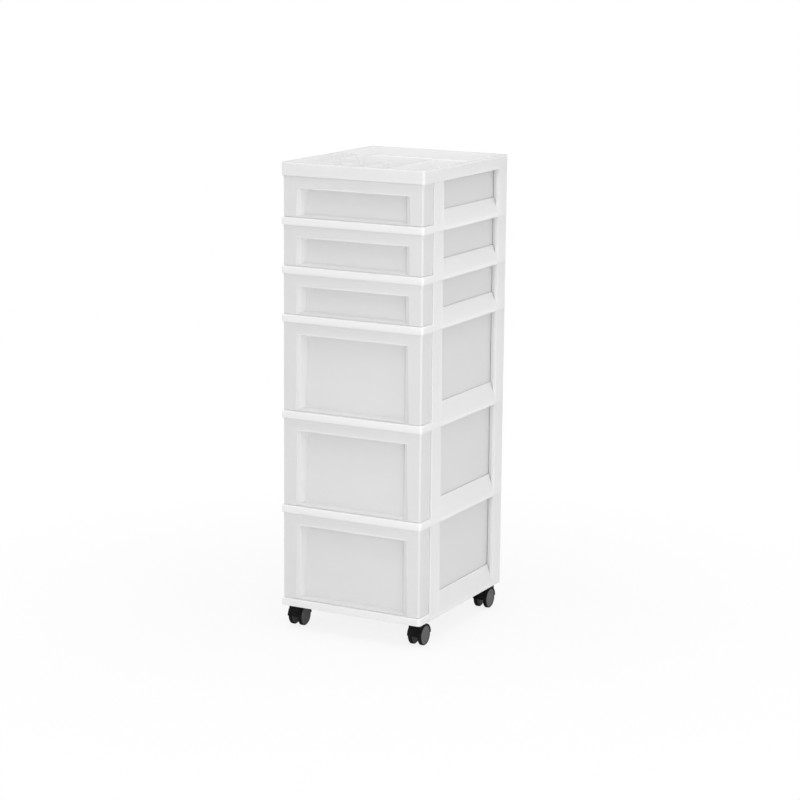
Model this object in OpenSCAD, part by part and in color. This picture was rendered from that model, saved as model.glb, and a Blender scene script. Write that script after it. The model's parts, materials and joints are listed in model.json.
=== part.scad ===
// Plastic drawer tower on casters: six stacked frames, six drawers and an organizer top.
// X is the width, Y the depth with the drawer fronts towards -Y, Z is up.
// The origin is on the floor, under the middle of the tower.

/* [Overall] */
// Width over the frame lips
tower_w = 306; // [290:1:330]
// Depth from the front lip to the back
tower_d = 362; // [345:1:400]
// Radius of the two front corners
front_r = 10; // [8:0.5:14]
// Radius of the two back corners
back_r = 8; // [6:0.5:12]

/* [Tiers] */
// Height of a shallow tier
shallow_h = 93.7; // [86:0.1:120]
// Height of a deep tier
deep_h = 188.6; // [150:0.1:220]

/* [Frames] */
// Height of the band round the foot of a frame
lip_h = 13; // [12:0.5:16]
// Height of the bevel on top of the front lip
lip_rise = 2; // [1:0.25:3]
// Depth of the bevel on top of the front lip
lip_run = 3; // [2:0.25:4]
// Thickness of the crest of the front lip
crest_t = 3; // [2:0.25:4]
// Wall thickness of the foot band
skirt_t = 2.4; // [2:0.1:3]
// Thickness of the shelf plate
deck_t = 2.2; // [1.8:0.1:3]
// How far each face leans inwards at the top of a frame
draft = 1.4; // [0.6:0.1:1.6]
// Width of a front post, seen from the side
front_post_w = 39; // [32:1:46]
// Width of a back post, seen from the side and from behind
back_post_w = 41; // [34:1:48]
// Depth of a post from its outer face to its inner edge
post_deep = 14; // [12:0.5:16]
// Outer wall of a post
post_skin = 3.6; // [3.2:0.1:4]
// Thickness of the returns of a post
post_wall = 2.2; // [1.8:0.1:2.6]
// Step in the return beside a window
post_step = 4; // [3:0.5:6]
// Height of the sloped panel under a shallow window
shallow_sill_h = 37; // [32:1:44]
// Height of the sloped panel under a deep window
deep_sill_h = 44; // [36:1:54]
// Height of the upright band under the sloped panel
sill_band_h = 5.5; // [4:0.5:8]
// Thickness of the sloped panel
sill_t = 2.2; // [1.8:0.1:2.6]
// Height of a locating tongue on top of a post
tongue_h = 4.5; // [3:0.5:5]
// Thickness of a locating tongue
tongue_t = 3; // [2:0.25:3.5]
// Length of a locating tongue
tongue_l = 22; // [16:1:26]
// Clearance round a locating tongue
tongue_gap = 0.4; // [0.3:0.05:0.8]
// Height of the root that joins a tongue to its post
tongue_root_h = 9; // [6:0.5:12]

/* [Shelf] */
// Ribs on a shelf that run from front to back
rib_cols = 2; // [1:1:4]
// Ribs on a shelf that run from side to side
rib_rows = 3; // [1:1:5]
// Thickness of these ribs
rib_t = 2; // [1.6:0.1:3]
// Space between the tongues of one tier and the shelf of the next
deck_gap = 0.6; // [0.4:0.1:1]
// Width of the runners that carry a drawer
runner_w = 4; // [3:0.5:6]
// Distance from the drawer's side to a runner
runner_inset = 4; // [2:0.5:8]
// Space at each end of a runner
runner_end = 2; // [1:0.5:6]

/* [Drawers] */
// Wall thickness of a drawer
drawer_t = 2.2; // [1.8:0.1:2.6]
// Gap between a drawer and the tier above
drawer_top_gap = 1.2; // [0.8:0.1:2]
// Gap between a drawer and the front lip
drawer_foot_gap = 0.5; // [0.4:0.1:1]
// Gap between a drawer and its runners
runner_gap = 0.3; // [0.3:0.05:0.6]
// Gap between the drawer front and the front posts
front_gap = 1.2; // [0.6:0.1:2]
// Gap between a drawer side and a post
side_gap = 1.5; // [1.5:0.1:2.5]
// Length of the drawer front that wraps round the sides
wrap_l = 40; // [32:1:48]
// Corner radius of the drawer front
drawer_front_r = 8; // [6:0.5:12]
// Corner radius at the back of a drawer
drawer_back_r = 8; // [5:0.5:12]
// Free space behind a drawer
drawer_back_gap = 21; // [19:0.5:30]
// Height of the thickened rim of a drawer
rim_h = 3; // [2:0.5:5]
// How far the rim of a drawer stands out
rim_out = 0.9; // [0.5:0.1:1]
// Height of the band above the finger recess
top_band_h = 22.5; // [16:0.5:28]
// Width of the band beside the finger recess, at its top
side_band_w = 33; // [26:1:40]
// How much wider the recess is at its foot, each side
recess_flare = 3; // [0:0.5:5]
// Depth of the recess at its foot
recess_foot_d = 13; // [10:0.5:16]
// Depth of the recess at its top
recess_top_d = 22; // [18:0.5:26]
// Slope of the sides of the recess over its depth
recess_side_run = 5; // [2:0.5:8]
// Height of the front edge under the recess
recess_edge_h = 1.5; // [1:0.25:3]
// Rise of the ledge from that edge to the panel
recess_ledge_rise = 4; // [2:0.5:6]
// How far the roof of the recess rises behind the band
finger_rise = 5; // [3:0.5:8]
// Width of a stop lug
lug_w = 6; // [4:0.5:10]
// Height of a stop lug
lug_h = 5; // [4:0.5:6]
// Height of a stop lug's foot over the foot of its drawer
lug_rise = 1.5; // [1:0.5:3]
// How far a stop lug stands out from the drawer side
lug_out = 4.5; // [4:0.25:5.5]
// Gap between a closed drawer's lugs and the back posts
lug_back_gap = 14; // [8:1:20]

/* [Organizer top] */
// Height of the organizer top
top_h = 25.3; // [24:0.1:32]
// Width of the rim round the compartments
rim_w = 6; // [5:0.5:9]
// Depth of the compartments
pocket_deep = 17.5; // [12:0.5:18]
// Thickness of the compartment floors
pocket_floor_t = 1.8; // [1.4:0.1:2]
// Thickness of the dividers
divider_t = 3; // [2:0.25:4]
// Corner radius of the compartments
pocket_r = 6; // [3:0.5:8]
// Length of the trough, front to back
trough_l = 160; // [120:1:180]
// Width of the compartment on the left
left_pocket_w = 56; // [40:1:70]
// Width of the compartment on the right
right_pocket_w = 76; // [50:1:90]
// Length of the small compartments at the front
cell_l = 94; // [60:1:110]
// Number of small compartments at the front
cell_count = 3; // [2:1:4]

/* [Casters] */
// Height from the floor to the lowest frame
caster_h = 47; // [45.5:0.1:52]
// Diameter of a wheel
wheel_d = 40; // [36:0.5:41]
// Width of one wheel
wheel_w = 11; // [9:0.5:13]
// Gap between a wheel and the middle web
wheel_gap = 0.7; // [0.4:0.1:1.2]
// Gap between a wheel and the hood over it
hood_gap = 0.9; // [0.6:0.1:1.5]
// Thickness of the hood
hood_t = 1.7; // [1.4:0.1:2.2]
// Thickness of the web between the wheels
web_t = 11; // [10:0.5:13]
// Distance from the stem to the axle
trail = 10; // [8:0.5:12]
// Radius of the hood's collar round the stem
collar_r = 10; // [8:0.5:12]
// Radius of an axle
axle_r = 3; // [2.5:0.1:3.5]
// Radial clearance of a wheel on its axle
axle_clear = 0.06; // [0.03:0.01:0.1]
// Depth of the axle's hole in a wheel
axle_in = 8; // [6:0.5:8.5]
// Clearance past the end of an axle or a stem
end_gap = 0.3; // [0.2:0.05:0.6]
// Wall of the hood's web round the axle
axle_wall = 4; // [3:0.5:6]
// Bevel on the edges of a wheel
wheel_bevel = 1.5; // [0.5:0.25:2.5]
// Depth of the dish in a wheel's outer face
wheel_dish = 2; // [1:0.25:2.5]
// Width of the rim round that dish
wheel_rim_w = 4; // [3.25:0.25:6]
// Radius of the hub in that dish
wheel_hub_r = 8; // [6:0.5:10]
// How far the hood reaches down, from the height of the axle
hood_foot = 1; // [0:0.5:3]
// Radius of a stem
stem_r = 4.3; // [3.9:0.1:4.7]
// Height of a stem's foot over its caster's axle
stem_over_axle = 2.5; // [1:0.25:4]
// Radial clearance of a stem in its socket
stem_clear = 0.06; // [0.03:0.01:0.1]
// Depth of a socket in the lowest frame
socket_deep = 11.6; // [10:0.2:11.8]
// Wall of a socket
socket_wall = 4.5; // [3:0.5:6]
// Gap between a hood and the frame above it
swivel_gap = 0.4; // [0.3:0.1:1]
// Distance from a stem to the side of the tower
stem_side = 20; // [18:0.5:26]
// Distance from a stem to the front or back of the tower
stem_end = 27; // [22:0.5:34]
// Width of the grip ring on a stem
ring_w = 1.6; // [1:0.1:2]
// Depth of the groove that holds the grip ring
ring_deep = 0.8; // [0.6:0.1:1.2]

/* [Hidden] */

$fn = 48;
eps = 0.5;                 // how far a cutter reaches past a face
frame_white = "#f4f5f5";
drawer_white = "#eceeee";
caster_black = "#1d1d1f";
steel = "#b9bcc0";

half_w = tower_w / 2;
half_d = tower_d / 2;

// Foot of each frame, counted down from the top one
base_z = caster_h;
deep_2_z = base_z + deep_h;
deep_1_z = deep_2_z + deep_h;
shallow_3_z = deep_1_z + deep_h;
shallow_2_z = shallow_3_z + shallow_h;
shallow_1_z = shallow_2_z + shallow_h;
top_z = shallow_1_z + shallow_h;

// Heights inside one tier
crest_z = lip_h + lip_rise;
drawer_z = crest_z + drawer_foot_gap;
runner_z = drawer_z - runner_gap;
deck_z = tongue_h + deck_gap;

// Places along the depth
front_post_y = -half_d + lip_run + wrap_l + front_gap;
window_y0 = front_post_y + front_post_w;
window_y1 = half_d - back_post_w;
window_x = half_w - back_post_w;
post_x = half_w - post_deep;
step_x = half_w - post_deep / 2;

// Outline of a drawer
drawer_front_y = -half_d + lip_run;
drawer_front_x = half_w - lip_run;
drawer_back_y = half_d - drawer_back_gap;
drawer_x = post_x - side_gap;
lug_y = window_y1 - lug_back_gap;
lug_z = drawer_z + lug_rise;

// Casters: the middle of each wheel from the middle of the hood
wheel_x = web_t / 2 + wheel_gap;
axle_z = wheel_d / 2;
well_r = wheel_d / 2 + hood_gap;
hood_r = well_r + hood_t;
hood_half_w = wheel_x + wheel_w;
hood_top_z = caster_h - swivel_gap;
stem_x = half_w - stem_side;
stem_y = half_d - stem_end;
stem_foot_z = axle_z + axle_r + stem_over_axle;
stem_top_z = caster_h + socket_deep - end_gap;
ring_z = caster_h + socket_deep / 2;

// ---------- shared outlines ----------

// Rectangle with one radius on its front corners and one on its back corners
module rounded_plan(w, d, r_front, r_back) {
    translate([-w / 2, -d / 2 + r_front]) square([w, d - r_front - r_back]);
    translate([-w / 2 + r_front, -d / 2]) square([w - 2 * r_front, d / 2]);
    translate([-w / 2 + r_back, 0]) square([w - 2 * r_back, d / 2]);
    for (side = [-1, 1]) {
        translate([side * (w / 2 - r_front), -d / 2 + r_front]) circle(r_front);
        translate([side * (w / 2 - r_back), d / 2 - r_back]) circle(r_back);
    }
}

// Outline of the tower, moved inwards by a distance
module tower_plan(inset) {
    rounded_plan(tower_w - 2 * inset, tower_d - 2 * inset, front_r - inset, back_r - inset);
}

// Rounded rectangle between two corners
module pocket_plan(x0, y0, x1, y1, r) {
    translate([(x0 + x1) / 2, (y0 + y1) / 2]) rounded_plan(x1 - x0, y1 - y0, r, r);
}

// Children copied to the left and the right
module both_sides() {
    children();
    mirror([1, 0, 0]) children();
}

// A section drawn as outward distance and height, run along the right-hand side
module side_run(y0, y1) {
    translate([half_w, y1, 0]) rotate([90, 0, 0]) linear_extrude(y1 - y0) children();
}

// The same section, run along the back
module back_run(x0, x1) {
    translate([x0, half_d, 0]) rotate([90, 0, 90]) linear_extrude(x1 - x0) children();
}

// ---------- frames ----------

// Section of the sloped panel under a window
module sill_section(sill_h) {
    top = -post_deep + sill_t;
    polygon([
        [0, 0], [0, sill_band_h], [top, sill_h - sill_t / 2], [-post_deep, sill_h - sill_t / 2],
        [-skirt_t, sill_band_h - sill_t / 2], [-skirt_t, 0]
    ]);
    translate([top - sill_t / 2, sill_h - sill_t / 2]) circle(sill_t / 2);
}

// Section of all that is open outside the sloped panel and above it
module window_section(sill_h, h) {
    top = -post_deep + sill_t;
    polygon([
        [0, sill_band_h], [eps, sill_band_h], [eps, h + eps], [-post_deep - eps, h + eps],
        [-post_deep - eps, sill_h], [top, sill_h - sill_t / 2]
    ]);
}

// Section of what the lean of an outer face takes away above the foot band
module draft_section(h) {
    polygon([[0, lip_h], [eps, lip_h], [eps, h], [-draft, h]]);
}

// Band round the foot of a frame, with a wall of a given thickness
module band(h, wall) {
    linear_extrude(h) difference() {
        tower_plan(0);
        tower_plan(wall);
    }
}

// Foot band with its shelf plate, which lies low in it, and the ribs and runners on the plate
module shelf() {
    rib_h = lip_h - deck_z;
    band(lip_h, skirt_t);
    // the foot under the shelf is as thick as the posts that stand on it and below it
    band(deck_z + deck_t / 2, post_skin);
    translate([0, 0, deck_z]) linear_extrude(deck_t) tower_plan(skirt_t / 2);
    for (i = [1 : rib_cols])
        translate([-half_w + i * tower_w / (rib_cols + 1) - rib_t / 2, -half_d + skirt_t / 2, deck_z])
            cube([rib_t, tower_d - skirt_t, rib_h]);
    for (i = [1 : rib_rows])
        translate([-half_w + skirt_t / 2, -half_d + i * tower_d / (rib_rows + 1) - rib_t / 2, deck_z])
            cube([tower_w - skirt_t, rib_t, rib_h]);
    both_sides() runner();
}

// Raised runner that carries one side of a drawer
module runner() {
    y0 = drawer_front_y + crest_t + runner_end;
    x0 = drawer_x - runner_inset - runner_w;
    translate([x0, y0, deck_z]) cube([runner_w, drawer_back_y - runner_end - y0, runner_z - deck_z]);
}

// Bevelled crest along the front lip and round its corners to the front posts
module lip_crest() {
    corner_x = half_w - front_r;
    corner_y = -half_d + front_r;
    foot = deck_z + deck_t / 2;
    // section as distance outwards and height
    module crest_section() {
        polygon([
            [-lip_run - crest_t, foot], [-skirt_t / 2, foot], [0, lip_h], [-lip_run, crest_z],
            [-lip_run - crest_t, crest_z]
        ]);
    }
    translate([-corner_x, -half_d, 0]) rotate([90, 0, -90]) mirror([0, 0, 1])
        linear_extrude(2 * corner_x) crest_section();
    both_sides() {
        side_run(corner_y, front_post_y + post_wall / 2) crest_section();
        intersection() {
            translate([corner_x, corner_y, 0]) rotate_extrude() translate([front_r, 0]) crest_section();
            translate([corner_x, corner_y - front_r, 0]) cube([front_r, front_r, crest_z]);
        }
    }
}

// Plan of a front post: an outer wall with a return on each edge
module front_post_plan() {
    y0 = front_post_y;
    y1 = window_y0;
    inner_y = y1 - post_step - post_wall;
    translate([half_w - post_skin, y0]) square([post_skin, y1 - y0]);
    translate([post_x, y0]) square([post_deep, post_wall]);
    translate([step_x, y1 - post_wall]) square([half_w - step_x, post_wall]);
    translate([step_x, inner_y]) square([post_wall, post_step + post_wall]);
    translate([post_x, inner_y]) square([step_x - post_x + post_wall, post_wall]);
}

// Return of a back post beside the side window, stepped like the front one
module back_return_plan() {
    y0 = window_y1;
    inner_y = y0 + post_step;
    translate([step_x, y0]) square([half_w - step_x, post_wall]);
    translate([step_x, y0]) square([post_wall, post_step + post_wall]);
    translate([post_x, inner_y]) square([step_x - post_x + post_wall, post_wall]);
}

// Plan of a back post: the corner of the tower with a return on each edge
module back_post_plan() {
    intersection() {
        difference() {
            tower_plan(0);
            tower_plan(post_skin);
        }
        translate([window_x, window_y1]) square(back_post_w);
    }
    back_return_plan();
    translate([window_x, half_d - post_deep]) square([post_wall, post_deep]);
}

// One tongue run along Y: its root joins the post beside it, its tip stands up into the tier above
module tongue(x, y, h) {
    root_w = tongue_t + tongue_gap + post_skin / 2;
    translate([x, y, h - tongue_root_h]) {
        cube([root_w, tongue_l, tongue_root_h]);
        cube([tongue_t, tongue_l, tongue_root_h + tongue_h]);
    }
}

// Tongues on the posts, which locate the tier above
module tongues(h) {
    inset = post_skin + tongue_gap + tongue_t;
    tongue(half_w - inset, (front_post_y + window_y0 - post_step - tongue_l) / 2, h);
    tongue(half_w - inset, window_y1 + post_step + post_wall + tongue_gap, h);
    translate([window_x + post_wall + tongue_gap + tongue_l, half_d - inset, 0])
        rotate([0, 0, 90]) tongue(0, 0, h);
}

// One moulded frame: band, shelf, four posts and the panels under its windows
module frame(h, sill_h) {
    difference() {
        union() {
            shelf();
            lip_crest();
            both_sides() {
                translate([0, 0, deck_z]) linear_extrude(h - deck_z) {
                    front_post_plan();
                    back_post_plan();
                }
                tongues(h);
            }
        }
        both_sides() {
            side_run(window_y0, window_y1) window_section(sill_h, h);
            side_run(front_post_y, half_d + eps) draft_section(h);
        }
        back_run(-window_x, window_x) window_section(sill_h, h);
        back_run(-half_w - eps, half_w + eps) draft_section(h);
    }
    both_sides() side_run(window_y0 - post_wall, window_y1 + post_wall) sill_section(sill_h);
    back_run(-window_x - post_wall, window_x + post_wall) sill_section(sill_h);
}

module shallow_frame(z) {
    color(frame_white) translate([0, 0, z]) frame(shallow_h, shallow_sill_h);
}

module deep_frame(z) {
    color(frame_white) translate([0, 0, z]) frame(deep_h, deep_sill_h);
}

// Lowest frame: a deep one with four sockets for the caster stems
module base_frame() {
    color(frame_white) difference() {
        translate([0, 0, base_z]) {
            frame(deep_h, deep_sill_h);
            for (x = [-stem_x, stem_x], y = [-stem_y, stem_y])
                translate([x, y, 0]) cylinder(r = stem_r + stem_clear + socket_wall, h = lip_h);
        }
        for (x = [-stem_x, stem_x], y = [-stem_y, stem_y])
            translate([x, y, base_z - eps]) cylinder(r = stem_r + stem_clear, h = socket_deep + eps);
    }
}

// ---------- drawers ----------

// Plan of a drawer, moved inwards by a distance: a wide front and a narrower body
module drawer_plan(inset) {
    wide_l = wrap_l - 2 * inset;
    x = drawer_front_x - inset;
    y = drawer_front_y + inset;
    r = drawer_front_r - inset;
    body_x = drawer_x - inset;
    body_y = drawer_back_y - inset;
    back_r = drawer_back_r - inset;
    translate([-x, y + r]) square([2 * x, wide_l - r]);
    translate([-x + r, y]) square([2 * (x - r), wide_l]);
    for (side = [-1, 1]) translate([side * (x - r), y + r]) circle(r);
    translate([-body_x, y + wide_l / 2]) square([2 * body_x, body_y - y - wide_l / 2 - back_r]);
    translate([-body_x + back_r, 0]) square([2 * (body_x - back_r), body_y]);
    for (side = [-1, 1]) translate([side * (body_x - back_r), body_y - back_r]) circle(back_r);
}

// The finger recess in the drawer front, grown outwards by a wall
module recess(h, grow) {
    foot_z = drawer_z + recess_edge_h;
    roof_z = h - drawer_top_gap - top_band_h;
    foot_x = drawer_front_x - side_band_w + recess_flare;
    roof_x = drawer_front_x - side_band_w;
    y = drawer_front_y;
    deep_y = y + recess_top_d;
    // seen from the side: ledge, leaning panel and raised roof
    intersection() {
        translate([-half_w, 0, 0]) rotate([90, 0, 90]) linear_extrude(tower_w) polygon([
            [y - eps, foot_z - grow],
            [y + recess_foot_d + grow, foot_z + recess_ledge_rise - grow],
            [deep_y + grow, roof_z + finger_rise + grow],
            [y - eps, roof_z + grow]
        ]);
        // seen from the front: a little wider at the foot
        translate([0, half_d, 0]) rotate([90, 0, 0]) linear_extrude(tower_d) polygon([
            [-foot_x - grow, 0], [foot_x + grow, 0], [roof_x + grow, h + eps], [-roof_x - grow, h + eps]
        ]);
        // seen from above: sides that slope inwards
        linear_extrude(h) polygon([
            [-foot_x - grow, y - eps], [foot_x + grow, y - eps],
            [foot_x + grow - recess_side_run, deep_y + grow],
            [-foot_x - grow + recess_side_run, deep_y + grow]
        ]);
    }
}

// One moulded drawer for a tier of a given height
module drawer(h) {
    top = h - drawer_top_gap;
    difference() {
        union() {
            translate([0, 0, drawer_z]) linear_extrude(top - drawer_z) drawer_plan(0);
            translate([0, 0, top - rim_h]) linear_extrude(rim_h) body_rim_plan();
            both_sides() translate([drawer_x - drawer_t / 2, lug_y, lug_z])
                cube([lug_out + drawer_t / 2, lug_w, lug_h]);
        }
        difference() {
            translate([0, 0, drawer_z + drawer_t]) linear_extrude(h) drawer_plan(drawer_t);
            recess(h, drawer_t);
        }
        recess(h, 0);
    }
}

// Plan of the thickened rim round the body of a drawer
module body_rim_plan() {
    y0 = drawer_front_y + wrap_l - drawer_t;
    x = drawer_x + rim_out;
    y1 = drawer_back_y + rim_out;
    r = drawer_back_r + rim_out;
    translate([-x, y0]) square([2 * x, y1 - y0 - r]);
    translate([-x + r, y0]) square([2 * (x - r), y1 - y0]);
    for (side = [-1, 1]) translate([side * (x - r), y1 - r]) circle(r);
}

module shallow_drawer(z) {
    color(drawer_white) translate([0, 0, z]) drawer(shallow_h);
}

module deep_drawer(z) {
    color(drawer_white) translate([0, 0, z]) drawer(deep_h);
}

// ---------- organizer top ----------

// All compartments, grown outwards by a wall
module pockets_plan(grow) {
    x1 = half_w - rim_w;
    y1 = half_d - rim_w;
    r = pocket_r + grow;
    trough_y = y1 - trough_l;
    front_end = trough_y - divider_t;
    left_x = -x1 + left_pocket_w;
    right_x = x1 - right_pocket_w;
    mid_x0 = left_x + divider_t;
    mid_x1 = right_x - divider_t;
    cell_w = (mid_x1 - mid_x0 - (cell_count - 1) * divider_t) / cell_count;
    // trough across the back
    pocket_plan(-x1 - grow, trough_y - grow, x1 + grow, y1 + grow, r);
    // long compartments on the left and on the right
    pocket_plan(-x1 - grow, -y1 - grow, left_x + grow, front_end + grow, r);
    pocket_plan(right_x - grow, -y1 - grow, x1 + grow, front_end + grow, r);
    // wide compartment in the middle
    pocket_plan(mid_x0 - grow, -y1 + cell_l + divider_t - grow, mid_x1 + grow, front_end + grow, r);
    // small compartments along the front
    for (i = [0 : cell_count - 1]) {
        x = mid_x0 + i * (cell_w + divider_t);
        pocket_plan(x - grow, -y1 - grow, x + cell_w + grow, -y1 + cell_l + grow, r);
    }
}

module organizer_top() {
    floor_z = top_h - pocket_deep;
    color(frame_white) translate([0, 0, top_z]) difference() {
        linear_extrude(top_h) tower_plan(0);
        // hollow underside, which leaves a skin round the compartments
        translate([0, 0, -eps]) linear_extrude(floor_z - pocket_floor_t + eps) tower_plan(skirt_t);
        translate([0, 0, -eps]) linear_extrude(top_h - pocket_floor_t + eps) difference() {
            tower_plan(skirt_t);
            pockets_plan(pocket_floor_t);
        }
        translate([0, 0, floor_z]) linear_extrude(pocket_deep + eps) pockets_plan(0);
    }
}

// ---------- casters ----------

// Children placed at one caster: side is -1 left or 1 right, end is -1 front or 1 back.
// The wheels trail towards the middle of the tower.
module at_caster(side, end) {
    translate([side * stem_x, end * stem_y, 0]) children();
}

// Cylinder along X about the axle, which lies at trail from the stem
module axle_cylinder(r, x0, x1, end) {
    translate([x0, -end * trail, axle_z]) rotate([0, 90, 0]) cylinder(r = r, h = x1 - x0);
}

module caster_hood(side, end) {
    low_z = axle_z + hood_foot;
    color(caster_black) at_caster(side, end) difference() {
        union() {
            intersection() {
                axle_cylinder(hood_r, -hood_half_w, hood_half_w, end);
                translate([-hood_half_w, -2 * hood_r, low_z]) cube([2 * hood_half_w, 4 * hood_r, 2 * hood_r]);
            }
            axle_cylinder(axle_r + axle_wall, -web_t / 2, web_t / 2, end);
            translate([0, 0, axle_z + wheel_d / 4]) cylinder(r = collar_r, h = hood_top_z - axle_z - wheel_d / 4);
        }
        for (s = [-1, 1]) {
            inner = s * web_t / 2;
            outer = s * (hood_half_w + collar_r);
            axle_cylinder(well_r, min(inner, outer), max(inner, outer), end);
        }
        axle_cylinder(axle_r, -hood_half_w, hood_half_w, end);
        translate([0, 0, stem_foot_z]) cylinder(r = stem_r, h = caster_h);
    }
}

// Stem with the groove for its grip ring
module caster_stem(side, end) {
    color(steel) at_caster(side, end) difference() {
        translate([0, 0, stem_foot_z]) cylinder(r = stem_r, h = stem_top_z - stem_foot_z);
        translate([0, 0, ring_z]) difference() {
            cylinder(r = 2 * stem_r, h = ring_w);
            cylinder(r = stem_r - ring_deep, h = ring_w);
        }
    }
}

// Grip ring seated in the groove of the stem
module grip_ring(side, end) {
    color(steel) at_caster(side, end) translate([0, 0, ring_z]) difference() {
        cylinder(r = stem_r, h = ring_w);
        translate([0, 0, -eps]) cylinder(r = stem_r - ring_deep, h = ring_w + 2 * eps);
    }
}

module axle(side, end) {
    reach = wheel_x + axle_in - end_gap;
    color(steel) at_caster(side, end) axle_cylinder(axle_r, -reach, reach, end);
}

// Section of a wheel from its middle out; its inner face lies at height 0
module wheel_section() {
    r = wheel_d / 2;
    dish_l = r - wheel_rim_w - wheel_hub_r;
    difference() {
        polygon([
            [0, 0], [r - wheel_bevel, 0], [r, wheel_bevel], [r, wheel_w - wheel_bevel],
            [r - wheel_bevel, wheel_w], [0, wheel_w]
        ]);
        translate([wheel_hub_r, wheel_w - wheel_dish]) square([dish_l, wheel_dish + eps]);
        translate([-eps, -eps]) square([axle_r + axle_clear + eps, axle_in + eps]);
    }
}

// Wheel on one side of a caster: face is -1 for its left and 1 for its right
module wheel(side, end, face) {
    color(caster_black) at_caster(side, end)
        translate([face * wheel_x, -end * trail, axle_z]) rotate([0, face * 90, 0])
            rotate_extrude() wheel_section();
}

// ---------- what is drawn ----------

organizer_top();
shallow_frame(shallow_1_z);  // shallow_frame_1
shallow_frame(shallow_2_z);  // shallow_frame_2
shallow_frame(shallow_3_z);  // shallow_frame_3
deep_frame(deep_1_z);  // deep_frame_1
deep_frame(deep_2_z);  // deep_frame_2
base_frame();
shallow_drawer(shallow_1_z);  // shallow_drawer_1
shallow_drawer(shallow_2_z);  // shallow_drawer_2
shallow_drawer(shallow_3_z);  // shallow_drawer_3
deep_drawer(deep_1_z);  // deep_drawer_1
deep_drawer(deep_2_z);  // deep_drawer_2
deep_drawer(base_z);  // deep_drawer_3
caster_hood(-1, -1);  // caster_hood_front_left
caster_hood(1, -1);  // caster_hood_front_right
caster_hood(-1, 1);  // caster_hood_back_left
caster_hood(1, 1);  // caster_hood_back_right
caster_stem(-1, -1);  // caster_stem_front_left
caster_stem(1, -1);  // caster_stem_front_right
caster_stem(-1, 1);  // caster_stem_back_left
caster_stem(1, 1);  // caster_stem_back_right
grip_ring(-1, -1);  // grip_ring_front_left
grip_ring(1, -1);  // grip_ring_front_right
grip_ring(-1, 1);  // grip_ring_back_left
grip_ring(1, 1);  // grip_ring_back_right
axle(-1, -1);  // axle_front_left
axle(1, -1);  // axle_front_right
axle(-1, 1);  // axle_back_left
axle(1, 1);  // axle_back_right
wheel(-1, -1, -1);  // outer_wheel_front_left
wheel(1, -1, 1);  // outer_wheel_front_right
wheel(-1, 1, -1);  // outer_wheel_back_left
wheel(1, 1, 1);  // outer_wheel_back_right
wheel(-1, -1, 1);  // inner_wheel_front_left
wheel(1, -1, -1);  // inner_wheel_front_right
wheel(-1, 1, 1);  // inner_wheel_back_left
wheel(1, 1, -1);  // inner_wheel_back_right
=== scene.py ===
"""Looks of a plastic drawer tower on casters.

Moulded white frames and drawers, black twin-wheel casters, and a white studio round them.
"""

import json
import math

import bmesh
import bpy
from bpy.props import FloatProperty, FloatVectorProperty, PointerProperty
from mathutils import Matrix, Vector

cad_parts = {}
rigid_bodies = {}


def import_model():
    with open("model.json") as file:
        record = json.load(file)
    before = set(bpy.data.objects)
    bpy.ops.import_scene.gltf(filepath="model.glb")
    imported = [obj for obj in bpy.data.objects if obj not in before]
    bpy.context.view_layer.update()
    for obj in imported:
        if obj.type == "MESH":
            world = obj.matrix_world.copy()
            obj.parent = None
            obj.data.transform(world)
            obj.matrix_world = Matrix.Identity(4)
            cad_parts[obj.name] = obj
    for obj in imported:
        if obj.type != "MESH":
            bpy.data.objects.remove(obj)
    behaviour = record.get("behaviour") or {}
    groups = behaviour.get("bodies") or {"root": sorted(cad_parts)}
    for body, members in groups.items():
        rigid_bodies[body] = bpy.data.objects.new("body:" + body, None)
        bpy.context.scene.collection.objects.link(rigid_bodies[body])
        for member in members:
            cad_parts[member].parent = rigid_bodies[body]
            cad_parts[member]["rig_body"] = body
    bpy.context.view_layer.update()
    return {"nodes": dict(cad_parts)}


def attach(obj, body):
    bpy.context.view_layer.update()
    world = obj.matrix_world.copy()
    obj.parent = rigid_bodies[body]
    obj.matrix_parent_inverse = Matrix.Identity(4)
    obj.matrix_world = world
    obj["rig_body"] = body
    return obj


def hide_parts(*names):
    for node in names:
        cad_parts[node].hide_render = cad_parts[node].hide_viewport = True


bl_info = {
    "name": "Drawer Tower",
    "version": (1, 0, 0),
    "blender": (4, 5, 0),
    "location": "3D View > Sidebar > Drawer Tower",
    "description": "Dresses a packed drawer tower in moulded plastic and sets it in a white studio",
    "category": "Object",
}

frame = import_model()
MM = 0.001

FRAMES = (
    "shallow_frame_1",
    "shallow_frame_2",
    "shallow_frame_3",
    "deep_frame_1",
    "deep_frame_2",
    "base_frame",
)

# The tower, in millimetres: it stands on z = 0 and its fronts face -Y
HALF_WIDTH = 153.0
HALF_DEPTH = 181.0
CASTER_HEIGHT = 47.0
SHALLOW = 93.7  # height of a shallow tier
DEEP = 188.6  # height of a deep tier
PACKED_RADIUS = 10.0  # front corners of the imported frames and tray
TIGHT_RADIUS = 5.0  # the same corners as they show
FRAME_WALL = 6.0
TRAY_WALL = 3.0
TRAY_RIM = 4.5
TRAY_DEPTH = 19.0

# The drawers, in millimetres: heights are over the foot of a tier
FRONT_X = 150.0  # half the width of the front
FRONT_Y = -178.0
WRAP = 40.0  # how far the front reaches back round the corners
BODY_X = 138.2  # half the width of the body behind the posts
BACK_Y = 160.0
FRONT_RADIUS = 4.0
BACK_RADIUS = 8.0
DRAWER_FOOT = 15.5
DRAWER_GAP = 1.2  # from the walls of a drawer to the tier above
DRAWER_WALL = 2.2

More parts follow.
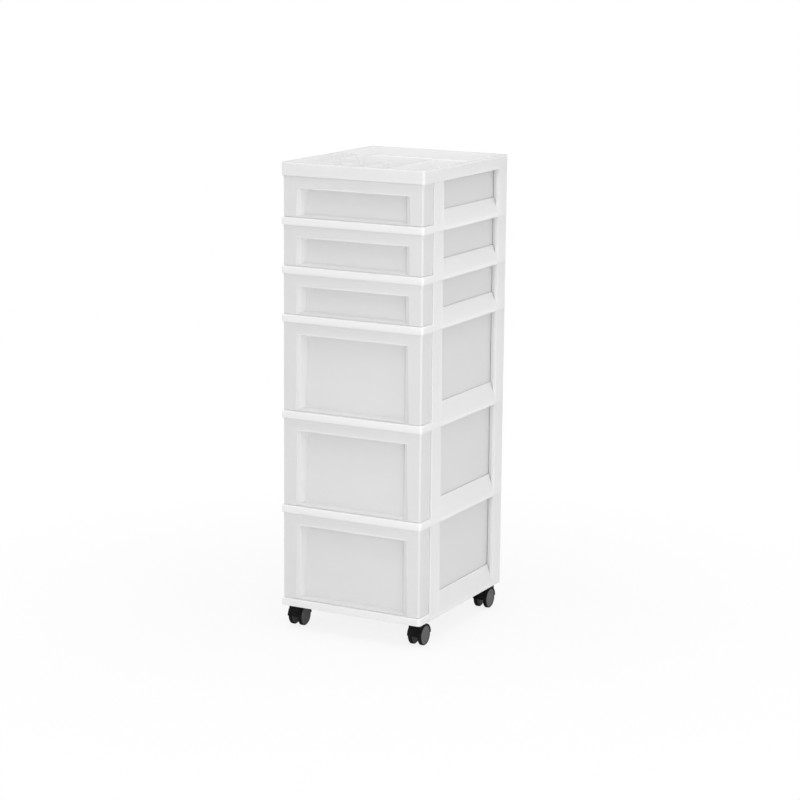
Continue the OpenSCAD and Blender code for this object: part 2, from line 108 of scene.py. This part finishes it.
# The casters, in millimetres
STEM_X = 133.0
STEM_Y = 154.0
TRAIL = 10.0  # from the stem to the axle, towards the middle of the tower
AXLE_Z = 20.0
AXLE_RADIUS = 3.0
WEB = 11.0  # thickness of the web between the wheels
ENDS = (("front_left", -1, -1), ("front_right", 1, -1), ("back_left", -1, 1), ("back_right", 1, 1))

# Marks to the metre
WAVES = 11.0
NYLON_GRAIN = 1800.0
DUST_SPECKS = 160.0
# and the same along X, Y and Z
FLOW_MARKS = (5.0, 5.0, 22.0)
SCUFFS = (60.0, 60.0, 420.0)
TURNING_MARKS = (900.0, 300.0, 2600.0)

# The lamps: place in metres and width in metres; their powers are in the settings
LAMPS = (
    ("top_light", (0.2, -0.4, 3.4), 2.6),
    ("key_light", (1.35, -2.15, 0.65), 0.9),
    ("side_light", (4.2, -0.9, 1.4), 2.4),
)
LIT_PLACE = (0, 0, 0.5)  # where they point
FLOOR_RADIUS = 14.0


def drawer_tiers():
    """Each drawer with the height and the foot of its tier, from the top down."""
    foot = CASTER_HEIGHT + 3 * (SHALLOW + DEEP)
    for kind, height in (("shallow", SHALLOW), ("deep", DEEP)):
        for number in (1, 2, 3):
            foot -= height
            yield f"{kind}_drawer_{number}", height, foot


# ---------- shader maths ----------


class Value:
    """A socket of a finish's node tree that can be used in plain arithmetic."""

    def __init__(self, finish, socket):
        self.finish = finish
        self.socket = socket

    def _math(self, operation, *values):
        return self.finish.node(
            "ShaderNodeMath", {"operation": operation}, dict(enumerate(values))
        )

    def __add__(self, other):
        return self._math("ADD", self, other)

    def __radd__(self, other):
        return self._math("ADD", other, self)

    def __mul__(self, other):
        return self._math("MULTIPLY", self, other)

    def __rmul__(self, other):
        return self._math("MULTIPLY", other, self)

    def greatest(self, other):
        """The larger of two values."""
        return self._math("MAXIMUM", self, other)


class Finish:
    """A node tree that is written as expressions on its sockets."""

    def __init__(self, tree):
        self.tree = tree
        tree.nodes.clear()

    def node(self, kind, settings=None, inputs=None, output=0):
        """One node: its settings first, then the values or links of its sockets."""
        made = self.tree.nodes.new(kind)
        for name, setting in (settings or {}).items():
            if name == "stops":
                self._set_stops(made.color_ramp, setting)
            else:
                setattr(made, name, setting)
        for name, value in (inputs or {}).items():
            if isinstance(value, Value):
                self.tree.links.new(value.socket, made.inputs[name])
            else:
                made.inputs[name].default_value = value
        return Value(self, made.outputs[output]) if made.outputs else made

    @staticmethod
    def _set_stops(ramp, stops):
        while len(ramp.elements) < len(stops):
            ramp.elements.new(1.0)
        for element, (place, grey) in zip(ramp.elements, stops):
            element.position = place
            element.color = (grey, grey, grey, 1.0)

    def place(self):
        """Where a point of the surface lies at rest, in metres."""
        return self.node("ShaderNodeTexCoord", output="Object")

    def stretched(self, place, scale):
        """A place measured with its own scale along each axis."""
        return self.node(
            "ShaderNodeVectorMath", {"operation": "MULTIPLY"}, {0: place, 1: scale}
        )

    def noise(self, place, per_metre, detail=2.0):
        """Noise about one half, with so many lumps to the metre."""
        inputs = {"Vector": place, "Scale": per_metre, "Detail": detail}
        return self.node("ShaderNodeTexNoise", None, inputs)

    def ramp(self, value, *stops):
        """A value carried through grey stops, each a place and a level."""
        return self.node("ShaderNodeValToRGB", {"stops": stops}, {"Fac": value})

    def mix(self, share, first, second):
        """A colour between two others."""
        inputs = {0: share, 6: first, 7: second}
        return self.node("ShaderNodeMix", {"data_type": "RGBA"}, inputs, output=2)

    def relief(self, height):
        """Normals of a relief whose height is in metres."""
        return self.node("ShaderNodeBump", None, {"Height": height, "Distance": 1.0})

    def end(self, shader, kind="ShaderNodeOutputMaterial"):
        """Ends the tree in a shader."""
        self.node(kind, None, {"Surface": shader})


def new_finish(name):
    """A new material and its finish."""
    material = bpy.data.materials.new(name)
    material.use_nodes = True
    return material, Finish(material.node_tree)


def rgba(colour, level=1.0):
    """A colour made lighter or darker, with full alpha."""
    return (*(min(1.0, channel * level) for channel in colour), 1.0)


# ---------- finishes ----------


def moulded_white(name, colour, look, milkiness=None):
    """White polypropylene: a faint mould grain, slow waves, dull flow marks and light scuffs."""
    material, fin = new_finish(name)
    place = fin.place()
    grain = fin.noise(place, look.grain_per_metre, 3.0)
    wave = fin.noise(place, WAVES, 1.0)
    flow = fin.noise(fin.stretched(place, FLOW_MARKS), 1.0, 4.0)
    streaks = fin.noise(fin.stretched(place, SCUFFS), 1.0, 5.0)
    scuff = fin.ramp(streaks, (0.60, 0.0), (0.74, 1.0))
    height = grain * look.grain_depth + wave * look.wave_depth
    shader = fin.node(
        "ShaderNodeBsdfPrincipled",
        None,
        {
            "Base Color": fin.mix(flow, rgba(colour, 0.975), rgba(colour, 1.02)),
            "Roughness": look.roughness - 0.06 + flow * 0.12 + scuff * 0.07,
            "IOR": 1.49,
            "Specular IOR Level": 0.4,
            "Subsurface Weight": look.milkiness if milkiness is None else milkiness,
            "Subsurface Radius": (0.022, 0.022, 0.022),
            "Subsurface Scale": 1.0,
            "Normal": fin.relief(height),
        },
    )
    fin.end(shader)
    return material


def moulded_black(name, colour, shine, look):
    """Black nylon: satin, with a fine grain and a trace of dust."""
    material, fin = new_finish(name)
    place = fin.place()
    grain = fin.noise(place, NYLON_GRAIN, 3.0)
    dust = fin.ramp(fin.noise(place, DUST_SPECKS, 5.0), (0.46, 0.0), (0.70, 1.0))
    shader = fin.node(
        "ShaderNodeBsdfPrincipled",
        None,
        {
            "Base Color": fin.mix(dust * look.dust, rgba(colour), rgba(look.dust_colour)),
            "Roughness": 0.40 + dust * 0.22,
            "IOR": 1.5,
            "Specular IOR Level": shine,
            "Normal": fin.relief(grain * (0.02 * MM)),
        },
    )
    fin.end(shader)
    return material


def turned_steel(name, look):
    """Bright steel with fine turning marks round its length."""
    material, fin = new_finish(name)
    place = fin.place()
    marks = fin.noise(fin.stretched(place, TURNING_MARKS), 1.0, 3.0)
    shader = fin.node(
        "ShaderNodeBsdfPrincipled",
        None,
        {
            "Base Color": fin.mix(
                marks, rgba(look.steel_colour, 0.9), rgba(look.steel_colour, 1.05)
            ),
            "Metallic": 1.0,
            "Roughness": 0.24 + marks * 0.16,
            "Normal": fin.relief(marks * (0.01 * MM)),
        },
    )
    fin.end(shader)
    return material


# ---------- shapes, in millimetres ----------


def rounded(*corners):
    """An outline from square corners, each an x, a y and the radius that rounds it."""
    steps = 8
    points = []
    for number, (x, y, radius) in enumerate(corners):
        here = Vector((x, y))
        if not radius:
            points.append(here)
            continue
        before = (Vector(corners[number - 1][:2]) - here).normalized()
        after = (Vector(corners[(number + 1) % len(corners)][:2]) - here).normalized()
        for step in range(steps + 1):
            angle = step / steps * math.pi / 2
            inwards = after * (1 - math.cos(angle)) + before * (1 - math.sin(angle))
            points.append(here + inwards * radius)
    return points


def circle(x, y, radius, steps=64):
    """An outline round a middle."""
    angles = [2 * math.pi * step / steps for step in range(steps)]
    return [Vector((x + radius * math.cos(a), y + radius * math.sin(a))) for a in angles]


def mirrored(*points):
    """An outline from its right-hand points, first to last, and their mirror images."""
    return [Vector(p) for p in points] + [Vector((-x, y)) for x, y in reversed(points)]


class Solid:
    """A closed body that others are joined to, cut from or crossed with."""

    def __init__(self, rings):
        """Makes a body from rings of points, whose first and last are its ends."""
        bm = bmesh.new()
        rings = [[bm.verts.new(Vector(point) * MM) for point in ring] for ring in rings]
        for low, high in zip(rings, rings[1:]):
            for number, corner in enumerate(low):
                bm.faces.new((low[number - 1], corner, high[number], high[number - 1]))
        bm.faces.new(rings[0])
        bm.faces.new(rings[-1])
        bmesh.ops.recalc_face_normals(bm, faces=bm.faces)
        mesh = bpy.data.meshes.new("solid")
        bm.to_mesh(mesh)
        bm.free()
        self.body = bpy.data.objects.new("solid", mesh)
        bpy.context.scene.collection.objects.link(self.body)

    def _boolean(self, operation, other):
        step = self.body.modifiers.new(operation, "BOOLEAN")
        step.operation = operation
        step.solver = "MANIFOLD"
        step.object = other.body
        graph = bpy.context.evaluated_depsgraph_get()
        mesh = bpy.data.meshes.new_from_object(self.body.evaluated_get(graph))
        self.body.modifiers.clear()
        self.body.data = mesh
        bpy.data.objects.remove(other.body)
        if not mesh.polygons:
            raise RuntimeError(f"nothing is left of a solid after {operation}")
        return self

    def __or__(self, other):
        return self._boolean("UNION", other)

    def __sub__(self, other):
        return self._boolean("DIFFERENCE", other)

    def __and__(self, other):
        return self._boolean("INTERSECT", other)

    def mesh(self):
        """The finished mesh, taken out of the scene."""
        mesh = self.body.data
        bpy.data.objects.remove(self.body)
        return mesh


def along_x(outline, start, end):
    """A body from an outline of y and z, along X."""
    return Solid([[(x, y, z) for y, z in outline] for x in (start, end)])


def along_y(outline, start, end):
    """A body from an outline of x and z, along Y."""
    return Solid([[(x, y, z) for x, z in outline] for y in (start, end)])


def along_z(outline, start, end):
    """A body from an outline of x and y, along Z."""
    return Solid([[(x, y, z) for x, y in outline] for z in (start, end)])


def turned(profile, x, y, z, face):
    """A body turned about an axis along X, from a profile of radii and distances outwards."""
    steps = 72
    rings = [
        [(x + face * far, *point) for point in circle(y, z, radius, steps)]
        for radius, far in profile
    ]
    return Solid(rings)


def box(corner, opposite):
    """A plain block between two opposite corners."""
    (x0, x1), (y0, y1), (z0, z1) = (sorted(pair) for pair in zip(corner, opposite))
    return along_z([(x0, y0), (x1, y0), (x1, y1), (x0, y1)], z0, z1)


def recess(height, wall):
    """The finger recess of a drawer in a tier of that height, grown by a wall."""
    foot_z = 16.75 - wall
    roof_z = height - 23.7 + wall
    rise = 5  # of the ledge and of the roof, towards the back
    ahead_y = FRONT_Y - 1  # just ahead of the front, to leave the recess open
    ledge_y = FRONT_Y + 13 + wall
    back_y = FRONT_Y + 19 + wall
    shoulder_y = FRONT_Y + 4 + wall
    foot_x, top_x = 123 + wall, 120 + wall
    shoulder_x, back_x = 114 + wall, 105 + wall
    side = along_x(
        [(ahead_y, foot_z), (ledge_y, foot_z + rise), (back_y, roof_z + rise), (ahead_y, roof_z)],
        -FRONT_X,
        FRONT_X,
    )
    front = along_y(mirrored((foot_x, 0), (top_x, height)), FRONT_Y - 12, 0)
    outline = mirrored(
        (foot_x, ahead_y), (foot_x, FRONT_Y), (shoulder_x, shoulder_y), (back_x, back_y)
    )
    return side & front & along_z(outline, 0, height)


def drawer_outline(inset):
    """The outline of a drawer: a front that wraps round the corners and a narrower body."""
    front_x = FRONT_X - inset
    front_y = FRONT_Y + inset
    wrap_y = FRONT_Y + WRAP - inset
    body_x = BODY_X - inset
    back_y = BACK_Y - inset
    return rounded(
        (-front_x, front_y, FRONT_RADIUS - inset),
        (front_x, front_y, FRONT_RADIUS - inset),
        (front_x, wrap_y, 0),
        (body_x, wrap_y, 0),
        (body_x, back_y, BACK_RADIUS - inset),
        (-body_x, back_y, BACK_RADIUS - inset),
        (-body_x, wrap_y, 0),
        (-front_x, wrap_y, 0),
    )


def body_edge(top):
    """The thicker edge along the top of a drawer's sides and back."""
    depth, side_proud, back_proud = 3, 0.2, 0.9
    x = BODY_X + side_proud
    y0, y1 = FRONT_Y + WRAP / 2, BACK_Y + back_proud
    radius = BACK_RADIUS + back_proud
    outline = rounded((-x, y0, 0), (x, y0, 0), (x, y1, radius), (-x, y1, radius))
    return along_z(outline, top - depth, top)


def front_rim(top):
    """The rim along the top of a drawer's front."""
    depth, proud, rise = 6, 0.5, 0.8
    x = FRONT_X + proud
    y0, y1 = FRONT_Y - proud, FRONT_Y + WRAP + proud
    radius = FRONT_RADIUS + proud
    outline = rounded((-x, y0, radius), (x, y0, radius), (x, y1, 0), (-x, y1, 0))
    return along_z(outline, top - depth, top + rise)


def stop_lug(side):
    """The lug at the back of a drawer's side that stops it at the front posts."""
    root_x, tip_x = BODY_X - 1.8, 142
    y, z, length, depth = 126, 17, 6, 5
    return box((side * root_x, y, z), (side * tip_x, y + length, z + depth))


def drawer_mesh(height):
    """One moulded drawer of a tier, over the foot of that tier."""
    top = height - DRAWER_GAP
    body = along_z(drawer_outline(0), DRAWER_FOOT, top)
    body |= body_edge(top)
    body |= front_rim(top)
    for side in (-1, 1):
        body |= stop_lug(side)
    inside = along_z(drawer_outline(DRAWER_WALL), DRAWER_FOOT + DRAWER_WALL, height + 1)
    body -= inside - recess(height, DRAWER_WALL)
    body -= recess(height, 0)
    return body.mesh()


def hood_mesh(x, y, trail):
    """A caster's hood with the web between its wheels and the flat pad on top."""
    axle_y = y + trail
    far = 20  # past both sides of the hood
    high = 60  # past its top
    half_width, skirt_z, skin_radius, wheel_room = 14.7, 21, 22.6, 20.9
    half_web, web_radius = WEB / 2, 7
    pad_x, pad_y, pad_radius, pad_foot, pad_top = 13, 10, 2, 30, 46.6
    stem_radius, stem_foot = 4.3, 25.5

    hood = along_x(circle(axle_y, AXLE_Z, skin_radius), x - half_width, x + half_width)
    hood &= box((x - far, axle_y - 2 * far, skirt_z), (x + far, axle_y + 2 * far, high))
    hood |= along_x(circle(axle_y, AXLE_Z, web_radius), x - half_web, x + half_web)
    pad = rounded(
        (x - pad_x, y - pad_y, pad_radius),
        (x + pad_x, y - pad_y, pad_radius),
        (x + pad_x, y + pad_y, pad_radius),
        (x - pad_x, y + pad_y, pad_radius),
    )
    hood |= along_z(pad, pad_foot, pad_top)
    for start, end in ((-far, -half_web), (half_web, far)):
        hood -= along_x(circle(axle_y, AXLE_Z, wheel_room), x + start, x + end)
    hood -= along_x(circle(axle_y, AXLE_Z, AXLE_RADIUS), x - far, x + far)
    hood -= along_z(circle(x, y, stem_radius), stem_foot, high)
    return hood.mesh()


def wheel_mesh(x, y, face):
    """One wheel with a plain disc inside its rim and a blind hole for the axle."""
    bore, rim, tread = AXLE_RADIUS + 0.06, 16.5, AXLE_Z
    hole, disc, width, bevel = 7.8, 8, 8.5, 1.5
    gap = 0.7  # between the web and the wheel
    profile = (
        (bore, hole),
        (bore, 0),
        (tread - bevel, 0),
        (tread, bevel),
        (tread, width - bevel),
        (tread - bevel, width),
        (rim, width),
        (rim, disc),
    )
    return turned(profile, x + face * (WEB / 2 + gap), y, AXLE_Z, face).mesh()


# ---------- meshes ----------


def tighten_corners(mesh, wall):
    """Gives the front corners of a wall their tight radius, at the same thickness."""
    slack, least_radius = 0.001, 0.3
    middle_x, middle_y = HALF_WIDTH - PACKED_RADIUS, PACKED_RADIUS - HALF_DEPTH
    inner_radius = PACKED_RADIUS - wall - 0.1
    for corner in mesh.vertices:
        side = math.copysign(1, corner.co.x)
        out = Vector((abs(corner.co.x) / MM - middle_x, corner.co.y / MM - middle_y))
        if out.x < -slack or out.y > slack or out.length < inner_radius:
            continue
        inset = PACKED_RADIUS - out.length
        radius = max(TIGHT_RADIUS - inset, least_radius)
        middle = Vector((HALF_WIDTH - inset - radius, inset + radius - HALF_DEPTH))
        place = middle + out.normalized() * radius
        corner.co.x = side * place.x * MM
        corner.co.y = place.y * MM


def packed(node):
    """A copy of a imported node's mesh."""
    return frame["nodes"][node].data.copy()


def join_faces(mesh):
    """Joins the split corners of a mesh and makes its flat faces whole."""
    weld = 0.002 * MM
    flat = math.radians(1.5)
    most_corners = 12  # a flat face with more of them shades unevenly, so it is split again
    bm = bmesh.new()
    bm.from_mesh(mesh)
    bmesh.ops.remove_doubles(bm, verts=bm.verts, dist=weld)
    bmesh.ops.dissolve_limit(bm, angle_limit=flat, verts=bm.verts, edges=bm.edges)
    large = [face for face in bm.faces if len(face.verts) > most_corners]
    bmesh.ops.triangulate(bm, faces=large)
    for face in bm.faces:
        face.smooth = True
    bm.to_mesh(mesh)
    bm.free()


def soften(name, node, mesh, radius, material):
    """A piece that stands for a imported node, with the rounded edges of a moulding."""
    join_faces(mesh)
    mesh.materials.clear()
    mesh.materials.append(material)
    rough = bpy.data.objects.new(name + "_rough", mesh)
    bpy.context.scene.collection.objects.link(rough)
    bevel = rough.modifiers.new("edges", "BEVEL")
    bevel.width = radius
    bevel.segments = 2
    bevel.limit_method = "ANGLE"
    bevel.angle_limit = math.radians(32)
    bevel.use_clamp_overlap = False
    bevel.miter_outer = "MITER_ARC"
    normals = rough.modifiers.new("flats", "WEIGHTED_NORMAL")
    normals.weight = 100
    normals.keep_sharp = True
    graph = bpy.context.evaluated_depsgraph_get()
    final = bpy.data.meshes.new_from_object(rough.evaluated_get(graph))
    bpy.data.objects.remove(rough)
    final.name = name
    piece = bpy.data.objects.new(name, final)
    bpy.context.scene.collection.objects.link(piece)
    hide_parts(node)
    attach(piece, frame["nodes"][node]["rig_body"])
    return piece


def face_material(piece, material, chosen):
    """Gives the chosen faces of a piece one more material."""
    piece.data.materials.append(material)
    for polygon in piece.data.polygons:
        if chosen(polygon):
            polygon.material_index = len(piece.data.materials) - 1


def paint(node, material):
    """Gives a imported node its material."""
    mesh = frame["nodes"][node].data
    mesh.materials.clear()
    mesh.materials.append(material)


# ---------- settings ----------


class TowerLook(bpy.types.PropertyGroup):
    """Colours and edges of the tower."""

    frame_colour: FloatVectorProperty(
        name="Frames", description="Colour of the frames and the top", subtype="COLOR",
        default=(0.84, 0.84, 0.84), min=0.0, max=1.0,
    )
    # Painted shade: the tops of the organizer's rim and dividers are the same white plastic as the
    # rest, painted a darker grey
    painted_rim_shade: FloatVectorProperty(
        name="Rim", description="Colour of the top of the organizer's rim and dividers",
        subtype="COLOR", default=(0.52, 0.52, 0.52), min=0.0, max=1.0,
    )
    # Painted light: the inside of the compartments is the same white plastic, painted a little
    # lighter
    painted_tray_light: FloatVectorProperty(
        name="Tray", description="Colour inside the compartments of the organizer", subtype="COLOR",
        default=(0.85, 0.85, 0.85), min=0.0, max=1.0,
    )
    drawer_colour: FloatVectorProperty(
        name="Drawers", description="Colour of the drawers", subtype="COLOR",
        default=(0.765, 0.765, 0.765), min=0.0, max=1.0,
    )
    caster_colour: FloatVectorProperty(
        name="Casters", description="Colour of the hoods and the treads", subtype="COLOR",
        default=(0.005, 0.005, 0.005), min=0.0, max=1.0,
    )
    disc_colour: FloatVectorProperty(
        name="Wheel faces", description="Colour of the faces of the wheels", subtype="COLOR",
        default=(0.09, 0.09, 0.09), min=0.0, max=1.0,
    )
    dust_colour: FloatVectorProperty(
        name="Dust", description="Colour of the dust on the casters", subtype="COLOR",
        default=(0.06, 0.058, 0.055), min=0.0, max=1.0,
    )
    dust: FloatProperty(
        name="Dust cover", description="How much the dust hides of the black plastic",
        default=0.15, min=0.0, max=1.0, subtype="FACTOR",
    )
    steel_colour: FloatVectorProperty(
        name="Steel", description="Colour of the stems and axles", subtype="COLOR",
        default=(0.60, 0.61, 0.63), min=0.0, max=1.0,
    )
    milkiness: FloatProperty(
        name="Milkiness", description="Share of the light that wanders through the white plastic",
        default=0.25, min=0.0, max=1.0, subtype="FACTOR",
    )
    roughness: FloatProperty(
        name="Roughness", description="Roughness of the white plastic", default=0.40,
        min=0.0, max=1.0, subtype="FACTOR",
    )
    grain_per_metre: FloatProperty(
        name="Grain", description="Grains of the mould's texture to the metre", default=1400.0
    )
    grain_depth: FloatProperty(
        name="Grain depth", description="Depth of the mould's texture", default=0.012 * MM,
        unit="LENGTH", precision=6,
    )
    wave_depth: FloatProperty(
        name="Wave depth", description="Depth of the slow waves in flat walls", default=0.25 * MM,
        unit="LENGTH", precision=6,
    )
    frame_edge: FloatProperty(
        name="Frame edges", description="Radius of the edges of a frame", default=0.35 * MM,
        unit="LENGTH", precision=5,
    )
    drawer_edge: FloatProperty(
        name="Drawer edges", description="Radius of the edges of a drawer", default=0.25 * MM,
        unit="LENGTH", precision=5,
    )
    top_edge: FloatProperty(
        name="Top edges", description="Radius of the edges of the organizer top", default=0.4 * MM,
        unit="LENGTH", precision=5,
    )
    caster_edge: FloatProperty(
        name="Hood edges", description="Radius of the edges of a hood", default=0.4 * MM,
        unit="LENGTH", precision=5,
    )
    wheel_edge: FloatProperty(
        name="Wheel edges", description="Radius of the edges of a wheel", default=0.2 * MM,
        unit="LENGTH", precision=5,
    )


class StudioLook(bpy.types.PropertyGroup):
    """Camera and light."""

    camera_place: FloatVectorProperty(
        name="Camera", description="Place of the camera", default=(2.134, -4.043, 1.396),
        subtype="TRANSLATION", unit="LENGTH",
    )
    camera_turn: FloatProperty(
        name="Turn", description="Turn of the camera about the upright axis",
        default=math.radians(27.7), subtype="ANGLE",
    )
    camera_drop: FloatProperty(
        name="Drop", description="How far the camera looks down",
        default=math.radians(11.79), subtype="ANGLE",
    )
    camera_roll: FloatProperty(
        name="Roll", description="Roll of the camera", default=math.radians(0.53), subtype="ANGLE"
    )
    focal: FloatProperty(
        name="Focal length", description="Focal length on a 36 mm sensor", default=106.56
    )
    ambient: FloatProperty(
        name="Ambient", description="Light of the white surroundings", default=0.73, min=0.0
    )
    top_light: FloatProperty(name="Top light", description="Power from above", default=41.0)
    key_light: FloatProperty(
        name="Key light", description="Power from the right of the front", default=16.0
    )
    side_light: FloatProperty(name="Side light", description="Power from the right", default=13.0)


# ---------- operators ----------


class TOWER_OT_studio(bpy.types.Operator):
    """Make the camera, the lights and the white floor"""

    bl_idname = "tower.studio"
    bl_label = "Studio"

    def execute(self, context):
        look = context.scene.studio_look
        self.make_camera(context, look)
        self.make_lights(context, look)
        self.make_floor(context)
        self.make_world(context, look)
        context.scene.view_settings.view_transform = "Standard"
        return {"FINISHED"}

    def make_camera(self, context, look):
        data = bpy.data.cameras.new("camera")
        data.sensor_width = 36.0
        data.lens = look.focal
        data.clip_end = 100.0
        camera = bpy.data.objects.new("camera", data)
        turn = Matrix.Rotation(look.camera_turn, 4, "Z")
        drop = Matrix.Rotation(math.pi / 2 - look.camera_drop, 4, "X")
        roll = Matrix.Rotation(look.camera_roll, 4, "Z")
        camera.matrix_world = Matrix.Translation(look.camera_place) @ turn @ drop @ roll
        context.scene.collection.objects.link(camera)
        context.scene.camera = camera

    def make_lights(self, context, look):
        centre = Vector(LIT_PLACE)
        for name, place, size in LAMPS:
            data = bpy.data.lights.new(name, "AREA")
            data.shape = "SQUARE"
            data.size = size
            data.energy = getattr(look, name)
            light = bpy.data.objects.new(name, data)
            light.location = place
            light.rotation_euler = (centre - Vector(place)).to_track_quat("-Z", "Y").to_euler()
            context.scene.collection.objects.link(light)

    def make_floor(self, context):
        bm = bmesh.new()
        bmesh.ops.create_circle(bm, cap_ends=True, segments=96, radius=FLOOR_RADIUS)
        mesh = bpy.data.meshes.new("floor")
        bm.to_mesh(mesh)
        bm.free()
        material, fin = new_finish("studio_floor")
        seen = fin.node("ShaderNodeLightPath", output="Is Camera Ray")
        away = fin.node("ShaderNodeVectorMath", {"operation": "LENGTH"}, {0: fin.place()}, output=1)
        # Near the tower some of the paper shows, with its shadow, and none from 1.1 m out
        far = fin.ramp(away * 0.5, (0.22, 0.84), (0.55, 1.0))
        paper = fin.node("ShaderNodeBsdfDiffuse", None, {"Color": (0.8, 0.8, 0.8, 1.0)})
        white = fin.node("ShaderNodeEmission", None, {"Color": (1.0, 1.0, 1.0, 1.0)})
        fin.end(fin.node("ShaderNodeMixShader", None, {0: seen * far, 1: paper, 2: white}))
        mesh.materials.append(material)
        floor = bpy.data.objects.new("floor", mesh)
        context.scene.collection.objects.link(floor)

    def make_world(self, context, look):
        world = bpy.data.worlds.new("studio")
        world.use_nodes = True
        fin = Finish(world.node_tree)
        path = fin.node("ShaderNodeLightPath", output="Is Camera Ray")
        glossy = fin.node("ShaderNodeLightPath", output="Is Glossy Ray")
        through = fin.node("ShaderNodeLightPath", output="Is Transmission Ray")
        seen = path.greatest(glossy).greatest(through)
        background = fin.node(
            "ShaderNodeBackground",
            None,
            {"Color": (1.0, 1.0, 1.0, 1.0), "Strength": look.ambient + seen * (1.0 - look.ambient)},
        )
        fin.end(background, "ShaderNodeOutputWorld")
        context.scene.world = world


class TOWER_OT_frames(bpy.types.Operator):
    """Make the six frames"""

    bl_idname = "tower.frames"
    bl_label = "Frames"

    def execute(self, context):
        look = context.scene.tower_look
        white = moulded_white("frame_white", look.frame_colour, look)
        for node in FRAMES:
            mesh = packed(node)
            tighten_corners(mesh, FRAME_WALL)
            piece = soften(node + "_moulding", node, mesh, look.frame_edge, white)
        return {"FINISHED"}


class TOWER_OT_drawers(bpy.types.Operator):
    """Make the six drawers"""

    bl_idname = "tower.drawers"
    bl_label = "Drawers"

    def execute(self, context):
        look = context.scene.tower_look
        milky = moulded_white("drawer_white", look.drawer_colour, look)
        meshes = {height: drawer_mesh(height) for height in (SHALLOW, DEEP)}
        for node, height, foot in drawer_tiers():
            mesh = meshes[height].copy()
            mesh.transform(Matrix.Translation((0, 0, foot * MM)))
            piece = soften(node + "_moulding", node, mesh, look.drawer_edge, milky)
        return {"FINISHED"}


class TOWER_OT_organizer(bpy.types.Operator):
    """Make the organizer top"""

    bl_idname = "tower.organizer"
    bl_label = "Organizer top"

    def execute(self, context):
        look = context.scene.tower_look
        white = moulded_white("top_white", look.frame_colour, look)
        # Painted shade: a darker copy of the white plastic for the tops of the rim and dividers
        rim = moulded_white("rim_white", look.painted_rim_shade, look)
        # Painted light: a lighter copy of the white plastic, without its milkiness, for the inside
        # of the compartments
        tray = moulded_white("tray_white", look.painted_tray_light, look, 0.0)
        mesh = packed("organizer_top")
        tighten_corners(mesh, TRAY_WALL)
        piece = soften("organizer_top_moulding", "organizer_top", mesh, look.top_edge, white)
        top_z = max(corner.co.z for corner in piece.data.vertices)
        # The faces inside the compartments take the painted light, and the tops of the rim and
        # dividers the painted shade
        face_material(piece, tray, lambda polygon: self.in_tray(polygon, top_z))
        face_material(piece, rim, lambda polygon: self.on_rim(polygon, top_z))
        return {"FINISHED"}

    @staticmethod
    def in_tray(polygon, top_z):
        """Whether a face belongs to the compartments."""
        x, y, z = polygon.center / MM
        inside = abs(x) < HALF_WIDTH - TRAY_RIM and abs(y) < HALF_DEPTH - TRAY_RIM
        return inside and z > top_z / MM - TRAY_DEPTH

    @staticmethod
    def on_rim(polygon, top_z):
        """Whether a face is on top of the rim or of a divider."""
        return polygon.normal.z > 0.9 and polygon.center.z > top_z - 0.5 * MM


class TOWER_OT_casters(bpy.types.Operator):
    """Make the four casters"""

    bl_idname = "tower.casters"
    bl_label = "Casters"

    def execute(self, context):
        look = context.scene.tower_look
        black = moulded_black("caster_black", look.caster_colour, 0.07, look)
        tread = moulded_black("tread_black", look.caster_colour, 0.10, look)
        disc = moulded_black("disc_grey", look.disc_colour, 0.3, look)
        steel = turned_steel("turned_steel", look)
        for end, side, depth in ENDS:
            x, y, trail = side * STEM_X, depth * STEM_Y, -depth * TRAIL
            mesh = hood_mesh(x, y, trail)
            hood = soften(f"caster_{end}_hood", f"caster_hood_{end}", mesh, look.caster_edge, black)
            for face, out in (("outer", side), ("inner", -side)):
                mesh = wheel_mesh(x, y + trail, out)
                node = f"{face}_wheel_{end}"
                wheel = soften(node + "_roller", node, mesh, look.wheel_edge, tread)
                face_material(wheel, disc, lambda polygon: abs(polygon.normal.x) > 0.9)
            for inner in ("caster_stem", "grip_ring", "axle"):
                paint(f"{inner}_{end}", steel)
        return {"FINISHED"}


class TOWER_PT_sidebar(bpy.types.Panel):
    """Lists the steps that make the tower"""

    bl_idname = "TOWER_PT_sidebar"
    bl_label = "Drawer Tower"
    bl_space_type = "VIEW_3D"
    bl_region_type = "UI"
    bl_category = "Drawer Tower"

    def draw(self, context):
        for step in STEPS:
            self.layout.operator(step.bl_idname)
        for settings in (context.scene.tower_look, context.scene.studio_look):
            group = self.layout.box()
            for name in settings.bl_rna.properties.keys():
                if name not in ("rna_type", "name"):
                    group.prop(settings, name)


STEPS = (TOWER_OT_studio, TOWER_OT_frames, TOWER_OT_drawers, TOWER_OT_organizer, TOWER_OT_casters)
CLASSES = (TowerLook, StudioLook, *STEPS, TOWER_PT_sidebar)


def register():
    for cls in CLASSES:
        bpy.utils.register_class(cls)
    bpy.types.Scene.tower_look = PointerProperty(type=TowerLook)
    bpy.types.Scene.studio_look = PointerProperty(type=StudioLook)


def unregister():
    del bpy.types.Scene.studio_look
    del bpy.types.Scene.tower_look
    for cls in reversed(CLASSES):
        bpy.utils.unregister_class(cls)


def main():
    register()
    bpy.ops.tower.studio()
    bpy.ops.tower.frames()
    bpy.ops.tower.drawers()
    bpy.ops.tower.organizer()
    bpy.ops.tower.casters()


if __name__ == "__main__":
    main()
